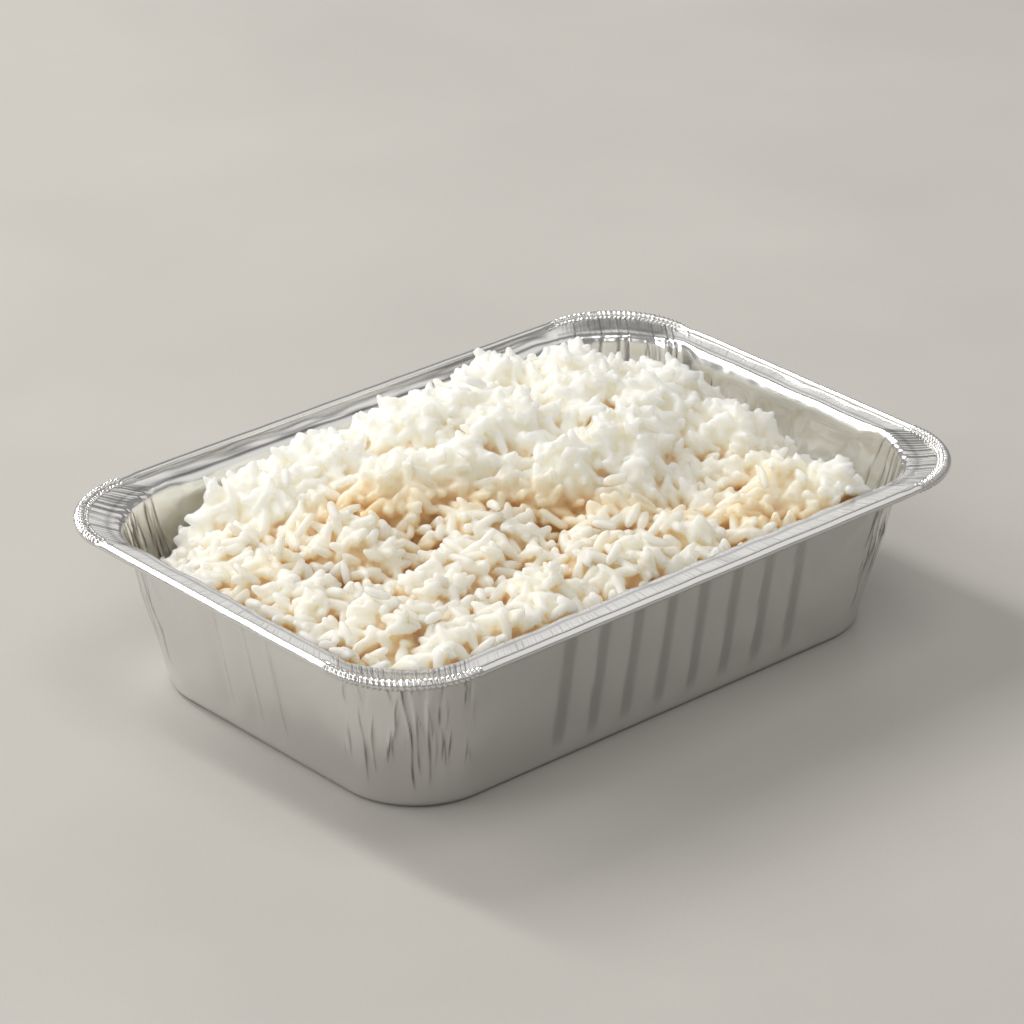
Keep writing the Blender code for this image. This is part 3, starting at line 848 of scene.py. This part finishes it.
# Each step names its result and works on numbers and on earlier results.
for result, operation, *terms in (
        ("from middle", "ABSOLUTE", "z"), ("spread", "POWER", "from middle", 0.82),
        ("end", "SIGN", "z"), ("end to end", "MULTIPLY", "spread", "end"),
        ("blunting", "POWER", "spread", GRAIN_BLUNTNESS), ("taper", "SUBTRACT", 1.0, "blunting"),
        ("fullness", "POWER", "taper", 0.5), ("square", "MULTIPLY", "from middle", "from middle"),
        ("ball square", "SUBTRACT", 1.0, "square"), ("not zero", "MAXIMUM", "ball square", 0.0001),
        ("ball width", "POWER", "not zero", 0.5), ("widening", "DIVIDE", "fullness", "ball width"),
        ("half thickness", "MULTIPLY", "thickness", 0.5),
        ("swelling", "MULTIPLY", "widening", "half thickness"),
        ("curve", "MULTIPLY", "end to end", "end to end"), ("bow", "SUBTRACT", "curve", 0.4),
        ("bent by", "MULTIPLY", "bow", "bend"), ("half length", "MULTIPLY", "length", 0.5),
        ("along", "MULTIPLY", "end to end", "half length"), ("wide", "MULTIPLY", "x", "swelling"),
        ("across", "ADD", "wide", "bent by"), ("high", "MULTIPLY", "y", "swelling"),
        ("upward", "MULTIPLY", "high", 0.9)):
    numbers = {index: term for index, term in enumerate(terms) if not isinstance(term, str)}
    sockets = {index: shape[term] for index, term in enumerate(terms) if isinstance(term, str)}
    node = add_node(grain_tree, "ShaderNodeMath", {"operation": operation, **numbers}, sockets)
    shape[result] = node.outputs[0]
place = add_node(grain_tree, "ShaderNodeCombineXYZ", None,
                 {0: shape["along"], 1: shape["across"], 2: shape["upward"]})
grain = add_node(grain_tree, "GeometryNodeSetPosition", None,
                 {"Geometry": ball.outputs["Mesh"], "Position": place.outputs[0]})
smooth = add_node(grain_tree, "GeometryNodeSetShadeSmooth", None, {"Geometry": grain.outputs[0]})
add_node(grain_tree, "NodeGroupOutput", None, {"Geometry": smooth.outputs[0]})

# Boiled rice: soft and moist. Light goes a little way in, so edges glow. Its colour is painted from
# white on top to amber deep in gaps and hollows, a painted shade for the light lost there.
boiled_rice, tree, place = new_material("boiled_white_rice")
# Depth drives the painted shade: white on top, amber deep in gaps and hollows.
depth = add_node(tree, "ShaderNodeAttribute", {"attribute_name": "depth"})
patches = add_node(tree, "ShaderNodeTexNoise", {"Scale": 70.0, "Detail": 1.0}, {"Vector": place})
mixed = add_node(tree, "ShaderNodeMath", {"operation": "MULTIPLY_ADD", 1: 0.2},
                 {0: patches.outputs["Fac"], 2: depth.outputs["Fac"]})
colour = add_node(tree, "ShaderNodeValToRGB", None, {"Fac": mixed.outputs[0]})
stops = colour.color_ramp.elements
stops[0].position, stops[0].color = 0.1, to_linear("#f6f4ea")
stops[1].position, stops[1].color = 1.0, to_linear("#bc9054")
for position, hex_colour in ((0.3, "#f0ebda"), (0.5, "#ead9b8"), (0.75, "#dab682")):
    stops.new(position).color = to_linear(hex_colour)
rice = add_node(tree, "ShaderNodeBsdfPrincipled",
                {"Roughness": 0.45, "IOR": 1.4, "Subsurface Weight": 1.0,
                 "Subsurface Radius": (1.0, 0.94, 0.86), "Subsurface Scale": 0.011},
                {"Base Color": colour.outputs[0]})
add_node(tree, "ShaderNodeOutputMaterial", None, {"Surface": rice.outputs[0]})


def heap_of_grains(name, stuck):
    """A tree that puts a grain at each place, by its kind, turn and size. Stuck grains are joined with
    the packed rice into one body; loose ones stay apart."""
    tree, identifiers = new_tree(name, {"Grain Size": 1.0, "Packed Rice": None})
    inputs = add_node(tree, "NodeGroupInput")
    kinds = add_node(tree, "GeometryNodeJoinGeometry")
    for length, thickness, bend in reversed(GRAIN_KINDS):
        sizes = {"Length": length * MM, "Thickness": thickness * MM, "Bend": bend * MM}
        grain = add_node(tree, "GeometryNodeGroup", {"node_tree": grain_tree, **sizes})
        one = add_node(tree, "GeometryNodeGeometryToInstance", None, {0: grain.outputs[0]})
        tree.links.new(one.outputs[0], kinds.inputs[0])
    kind, turn, plump = (
        add_node(tree, "GeometryNodeInputNamedAttribute", {"data_type": data_type, "Name": name})
        for name, data_type in (("kind", "INT"), ("turn", "FLOAT_VECTOR"), ("plump", "FLOAT")))
    size = add_node(tree, "ShaderNodeMath", {"operation": "MULTIPLY"},
                    {0: plump.outputs[0], 1: inputs.outputs["Grain Size"]})
    many = add_node(tree, "GeometryNodeInstanceOnPoints", {"Pick Instance": True},
                    {"Points": inputs.outputs["Geometry"], "Instance": kinds.outputs[0],
                     "Instance Index": kind.outputs[0], "Rotation": turn.outputs[0],
                     "Scale": size.outputs[0]})
    heap = many
    if stuck:
        core = add_node(tree, "GeometryNodeObjectInfo", None,
                        {"Object": inputs.outputs["Packed Rice"]})
        heap = add_node(tree, "GeometryNodeMeshBoolean", {"operation": "UNION", "solver": "MANIFOLD"})
        for mesh in (core.outputs["Geometry"], many.outputs[0]):
            tree.links.new(mesh, heap.inputs["Mesh 2"])
    real = add_node(tree, "GeometryNodeRealizeInstances", None, {"Geometry": heap.outputs[0]})
    cooked = add_node(tree, "GeometryNodeSetMaterial", {"Material": boiled_rice},
                      {"Geometry": real.outputs[0]})
    add_node(tree, "NodeGroupOutput", None, {"Geometry": cooked.outputs[0]})
    return tree, identifiers["Packed Rice"]


def made_plain(piece):
    """The plain mesh that a piece's modifiers make."""
    return bpy.data.meshes.new_from_object(piece.evaluated_get(bpy.context.evaluated_depsgraph_get()))


def grown(name, mine, maker, core=None):
    """The finished mesh of the grains in a table of kind, place, yaw, pitch and size."""
    places = bpy.data.meshes.new(name)
    places.from_pydata((mine[:, 1:4] * MM).tolist(), [], [])
    turns = np.stack([dice.uniform(0, 2 * math.pi, len(mine)), -mine[:, 5], mine[:, 4]], axis=1)
    places.attributes.new("turn", "FLOAT_VECTOR", "POINT").data.foreach_set("vector", turns.ravel())
    places.attributes.new("plump", "FLOAT", "POINT").data.foreach_set("value", mine[:, 6])
    places.attributes.new("kind", "INT", "POINT").data.foreach_set("value", mine[:, 0].astype(int))
    holder = placed(name + "_places", places)
    modifier = holder.modifiers.new("grains", "NODES")
    modifier.node_group, core_input = maker
    if core:
        modifier[core_input] = core
    data = made_plain(holder)
    bpy.data.objects.remove(holder, do_unlink=True)
    data.name = name
    return data


def points_of(data):
    """Coordinates of a mesh's points, in mm."""
    spots = np.empty(len(data.vertices) * 3)
    data.vertices.foreach_get("co", spots)
    return spots.reshape(-1, 3) / MM


def shade_by_depth(data):
    """Stores how deep each point of a piece of rice lies, for the material's painted shade."""
    shade = rice_shade(*points_of(data).T)
    data.attributes.new("depth", "FLOAT", "POINT").data.foreach_set("value", shade)


SWELLING = 0.35                     # in mm, either way
SWELLING_SIZE = 1.9


def swell(data):
    """Makes boiled grains a little uneven, by pushing their skin in and out."""
    spots, normals = points_of(data), np.empty(len(data.vertices) * 3)
    data.vertex_normals.foreach_get("vector", normals)
    push = SWELLING * noise_at(*spots.T / SWELLING_SIZE) * (0.4 + 0.6 * look_up(fluffy, *spots.T[:2]))
    spots += push[:, None] * normals.reshape(-1, 3)
    data.vertices.foreach_set("co", (spots * MM).ravel())


loose_maker = heap_of_grains("loose_grains", False)
for kind in range(len(GRAIN_KINDS)):
    name = f"rice_grains_{kind + 1}"
    piece = placed(name, grown(name, loose_rows[loose_rows[:, 0] == kind], loose_maker))
    piece.data.shade_smooth()
    swell(piece.data)
    shade_by_depth(piece.data)
    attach(piece, "root")
    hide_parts("rice_heap")
stuck_maker = heap_of_grains("stuck_grains", True)
rice_core.data = grown("rice_core", grains, stuck_maker, rice_core)


def rework(piece, kind, **settings):
    """Changes a piece's mesh with one modifier, which is then removed."""
    modifier = piece.modifiers.new(kind, kind)
    for setting, value in settings.items():
        setattr(modifier, setting, value)
    data = made_plain(piece)
    piece.modifiers.clear()
    piece.data = data


# Where grains have stuck, their joints are filled. The rice on the mound has gone softer than the
# rest, and the crumbs along the edges have kept their shape.
JOINT_FILL = 0.38                   # in mm
MOST_TRIANGLES = 190000
rework(rice_core, "REMESH", mode="VOXEL", voxel_size=JOINT_FILL * MM)
fused_triangles = sum(len(face.vertices) - 2 for face in rice_core.data.polygons)
rework(rice_core, "DECIMATE", ratio=min(1.0, MOST_TRIANGLES / fused_triangles))
softness = rice_core.vertex_groups.new(name="softness")
x, y, _ = points_of(rice_core.data).T
on_mound, at_edge = look_up(fluffy, x, y) >= 0.5, look_up(past_shoulder, x, y) > -3.5
for level, chosen in ((0.12, ~on_mound), (0.8, on_mound), (0.1, at_edge)):
    softness.add(np.nonzero(chosen)[0].tolist(), level, "REPLACE")
rework(rice_core, "SMOOTH", factor=0.7, iterations=3, vertex_group=softness.name)
swell(rice_core.data)
rice_core.data.shade_smooth()
shade_by_depth(rice_core.data)
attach(rice_core, "root")
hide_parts("rice_heap")

# ---- The table, the light and the camera -------------------------------------------------------
# A pale, satin table top under a low window on the far left and a wide soft light on the left.
FLOOR_COLOUR = "#c3c0ba"
TABLE_HALF = 6.0                    # in metres
floor_data = bpy.data.meshes.new("table")
floor_data.from_pydata([(TABLE_HALF * x, TABLE_HALF * y, 0) for x, y in CORNERS], [], [(0, 1, 2, 3)])
table = placed("table", floor_data)
satin, tree, place = new_material("satin_table_top")
mottle = add_node(tree, "ShaderNodeTexNoise", {"Scale": 9.0, "Detail": 5.0}, {"Vector": place})
speckle = add_node(tree, "ShaderNodeTexNoise", {"Scale": 900.0, "Detail": 1.0}, {"Vector": place})
both = add_node(tree, "ShaderNodeMath", {"operation": "MULTIPLY_ADD", 1: 0.25},
                {0: speckle.outputs["Fac"], 2: mottle.outputs["Fac"]})
tone = add_node(tree, "ShaderNodeMapRange",
                {"From Min": 0.4, "From Max": 0.9, "To Min": 0.94, "To Max": 1.04},
                {"Value": both.outputs[0]})
colour = add_node(tree, "ShaderNodeMix",
                  {"data_type": "RGBA", "blend_type": "MULTIPLY", "Factor": 1.0})
colour.inputs[6].default_value = to_linear(FLOOR_COLOUR)
tree.links.new(tone.outputs[0], colour.inputs[7])
top = add_node(tree, "ShaderNodeBsdfPrincipled", {"Roughness": 0.5, "Specular IOR Level": 0.35},
               {"Base Color": colour.outputs[2]})
add_node(tree, "ShaderNodeOutputMaterial", None, {"Surface": top.outputs[0]})
floor_data.materials.append(satin)

STUDIO_LIGHTS = [  # name, toward x and y, elevation in degrees, distance, width and height in m, watts
    ("low_window", -0.158, 0.987, 36, 2.0, 0.16, 0.50, 8.4),
    ("high_window", -0.158, 0.987, 52, 2.0, 0.16, 0.80, 9.2),
    ("left_window", -0.6, 0.8, 36, 2.0, 0.9, 0.6, 8.4),
    ("soft_left", -0.9, 0.436, 24, 2.0, 0.8, 0.8, 8.6),
    ("back_panel", 0.665, 0.746, 26, 2.5, 1.4, 0.8, 2.6),
    ("soft_top", 0.3, -0.954, 78, 2.0, 0.9, 0.9, 6.5),
    ("soft_front", -0.75, -0.66, 42, 2.0, 0.9, 0.9, 3.6),
    ("soft_right", 0.8, -0.6, 42, 2.0, 1.2, 1.2, 3.0)]
LAMP_COLOUR = (1.0, 0.99, 0.97)
for name, toward_x, toward_y, elevation, away, width, height, watts in STUDIO_LIGHTS:
    lamp = bpy.data.lights.new(name, "AREA")
    lamp.shape = "RECTANGLE"
    lamp.size, lamp.size_y = width, height
    lamp.energy = watts
    lamp.color = LAMP_COLOUR
    level = math.cos(math.radians(elevation))
    toward = Vector((toward_x * level, toward_y * level, math.sin(math.radians(elevation))))
    holder = placed(name, lamp)
    holder.location = away * toward + Vector((0, 0, 0.03))
    holder.rotation_euler = toward.to_track_quat("Z", "Y").to_euler()

AMBIENT_COLOUR, AMBIENT_STRENGTH = (1.0, 0.985, 0.96, 1.0), 0.30
world = bpy.data.worlds.new("studio")
world.use_nodes = True
bpy.context.scene.world = world
ambient = world.node_tree.nodes["Background"]
ambient.inputs[0].default_value = AMBIENT_COLOUR
ambient.inputs[1].default_value = AMBIENT_STRENGTH

LOOK_AT = Vector((0.025879, 0.031362, 0.02038))
AROUND, ABOVE, AWAY = math.radians(-41.716), math.radians(26.102), 1.31863
back = Vector((math.sin(AROUND) * math.cos(ABOVE), -math.cos(AROUND) * math.cos(ABOVE),
               math.sin(ABOVE)))
lens = bpy.data.cameras.new("camera")
lens.lens = 165.5
lens.sensor_width = 36.0
lens.clip_end = 30.0
camera = placed("camera", lens)
camera.location = LOOK_AT + AWAY * back
camera.rotation_euler = back.to_track_quat("Z", "Y").to_euler()
bpy.context.scene.camera = camera
bpy.context.scene.view_settings.view_transform = "Standard"
